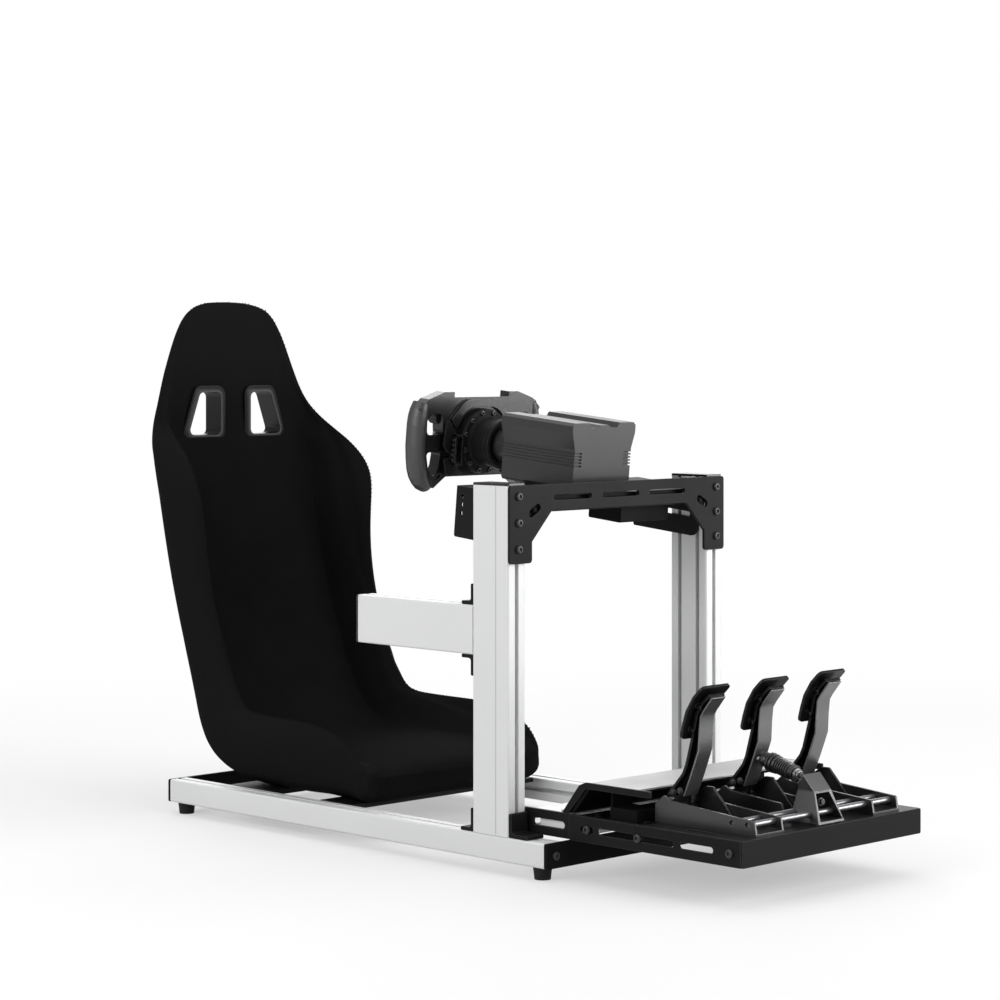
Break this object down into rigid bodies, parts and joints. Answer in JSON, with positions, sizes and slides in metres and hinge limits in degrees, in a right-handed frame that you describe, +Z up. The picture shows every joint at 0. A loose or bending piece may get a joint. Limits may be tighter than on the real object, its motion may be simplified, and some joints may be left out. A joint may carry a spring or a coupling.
{
  "type": "sim racing cockpit",
  "caption": "Racing simulator cockpit: slotted aluminium base frame with bucket seat, direct drive steering wheel on a cross plate, side arm and a pedal tray with hinged pedals.",
  "frame": {"origin": "centre of the footprint on the floor", "axes": "+X points from the seat to the pedals, +Y to the driver's left, +Z up"},
  "size_m": [1.4825, 0.52, 0.926],
  "materials": {
    "aluminium_profile": "fine satin anodised",
    "black_steel": "fine textured powder coat",
    "black_plastic": "moulded matte",
    "rubber": "matte",
    "seat_fabric": "woven cover over foam",
    "base_grey": "satin anodised",
    "grip_rubber": "matte moulded",
    "heel_sheet": "satin sheet",
    "bright_steel": "satin black",
    "damper_rubber": "elastomer discs on a steel rod"
  },
  "bodies": {
    "frame": {"right_base_rail": "aluminium_profile", "left_base_rail": "aluminium_profile", "front_tie_plate": "black_steel", "rear_tie_plate": "black_steel", "rubber_feet": "rubber", "right_upright": "aluminium_profile", "left_upright": "aluminium_profile", "upright_end_caps": "black_plastic", "corner_brackets": "black_steel", "side_arm": "aluminium_profile", "side_arm_cap": "black_plastic", "wheel_front_plate": "black_steel", "wheel_deck": "black_steel", "under_deck_box": "black_plastic", "wheelbase_housing": "base_grey", "wheelbase_nose": "base_grey", "right_extension_plate": "black_steel", "left_extension_plate": "black_steel", "extension_spacers": "black_steel", "cross_beam": "aluminium_profile", "right_tray_side": "black_steel", "left_tray_side": "black_steel", "tray_front_plate": "black_steel", "tray_floor": "black_steel", "heel_plate": "heel_sheet", "heel_side_bars": "black_steel", "throttle_base": "black_steel", "brake_base": "black_steel", "clutch_base": "black_steel", "brake_portal": "black_steel", "pedal_rods": "bright_steel", "seat_cross_plates": "black_steel", "harness_trims": "black_plastic", "bucket_seat": "seat_fabric"},
    "wheel": {"wheel_hub": "black_steel", "wheel_core": "black_plastic", "left_grip": "grip_rubber", "right_grip": "grip_rubber", "wheel_face_housing": "black_plastic"},
    "left_paddle": {"left_paddle": "black_steel"},
    "right_paddle": {"right_paddle": "black_steel"},
    "left_lower_paddle": {"left_lower_paddle": "black_steel"},
    "right_lower_paddle": {"right_lower_paddle": "black_steel"},
    "throttle": {"throttle_arm": "black_steel", "throttle_pad": "black_steel"},
    "brake": {"brake_arm": "black_steel", "brake_pad": "black_steel"},
    "clutch": {"clutch_arm": "black_steel", "clutch_pad": "black_steel"},
    "brake_damper": {"brake_damper": "damper_rubber"}
  },
  "joints": [
    {"name": "wheel_turn", "type": "hinge", "parent": "frame", "child": "wheel", "pos_m": [0.09623, 0, 0.66404], "axis": [0.9954, 0, -0.0958], "continuous": true},
    {"name": "left_paddle_pull", "type": "hinge", "parent": "wheel", "child": "left_paddle", "pos_m": [-0.02683, 0.066, 0.68392], "axis": [0.0958, 0, 0.9954], "range_deg": [0, 3.5], "stiffness_Nm_per_rad": 3, "springref_deg": -5.73},
    {"name": "left_lower_paddle_pull", "type": "hinge", "parent": "wheel", "child": "left_lower_paddle", "pos_m": [-0.03124, 0.066, 0.63813], "axis": [0.0958, 0, 0.9954], "range_deg": [0, 3.5], "stiffness_Nm_per_rad": 3, "springref_deg": -5.73},
    {"name": "right_paddle_pull", "type": "hinge", "parent": "wheel", "child": "right_paddle", "pos_m": [-0.02683, -0.066, 0.68392], "axis": [-0.0958, 0, -0.9954], "range_deg": [0, 3.5], "stiffness_Nm_per_rad": 3, "springref_deg": -5.73},
    {"name": "right_lower_paddle_pull", "type": "hinge", "parent": "wheel", "child": "right_lower_paddle", "pos_m": [-0.03124, -0.066, 0.63813], "axis": [-0.0958, 0, -0.9954], "range_deg": [0, 3.5], "stiffness_Nm_per_rad": 3, "springref_deg": -5.73},
    {"name": "throttle_press", "type": "hinge", "parent": "frame", "child": "throttle", "pos_m": [0.56, -0.143, 0.124], "axis": [0, 1, 0], "range_deg": [0, 18], "stiffness_Nm_per_rad": 15, "springref_deg": -8.59},
    {"name": "brake_press", "type": "hinge", "parent": "frame", "child": "brake", "pos_m": [0.56, 0, 0.124], "axis": [0, 1, 0], "range_deg": [0, 7], "stiffness_Nm_per_rad": 300, "springref_deg": -1.15},
    {"name": "clutch_press", "type": "hinge", "parent": "frame", "child": "clutch", "pos_m": [0.56, 0.143, 0.124], "axis": [0, 1, 0], "range_deg": [0, 20], "stiffness_Nm_per_rad": 25, "springref_deg": -8.59},
    {"name": "damper_slide", "type": "slide", "parent": "frame", "child": "brake_damper", "axis": [0.9659, 0, -0.2588], "range_m": [0, 0.009]}
  ],
  "couplings": [
    {"joint": "damper_slide", "follows": "brake_press", "m_per_rad": 0.0687}
  ]
}
